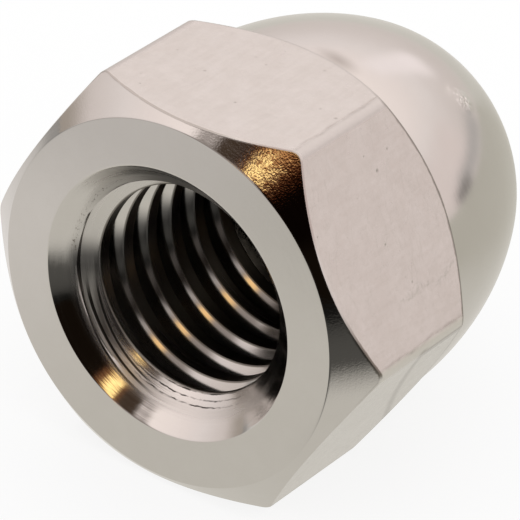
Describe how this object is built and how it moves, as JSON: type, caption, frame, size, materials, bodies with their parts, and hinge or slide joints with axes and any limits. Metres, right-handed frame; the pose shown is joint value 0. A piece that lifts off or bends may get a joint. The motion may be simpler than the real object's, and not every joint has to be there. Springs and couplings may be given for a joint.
{
  "type": "cap nut",
  "caption": "Hexagon nut with a domed closed end and a blind, countersunk, right-hand threaded hole.",
  "frame": {"origin": "centre of the bearing face, on the thread axis", "axes": "+Y runs along the thread axis from the open mouth to the crown of the dome; +Z is square to the flat on top, and the nut lies on the flat that faces -Z; +X points at a corner of the hexagon"},
  "size_m": [0.0148, 0.015, 0.013],
  "materials": {
    "polished_steel": "polished"
  },
  "bodies": {
    "root": {"cap_nut": "polished_steel"}
  },
  "joints": []
}
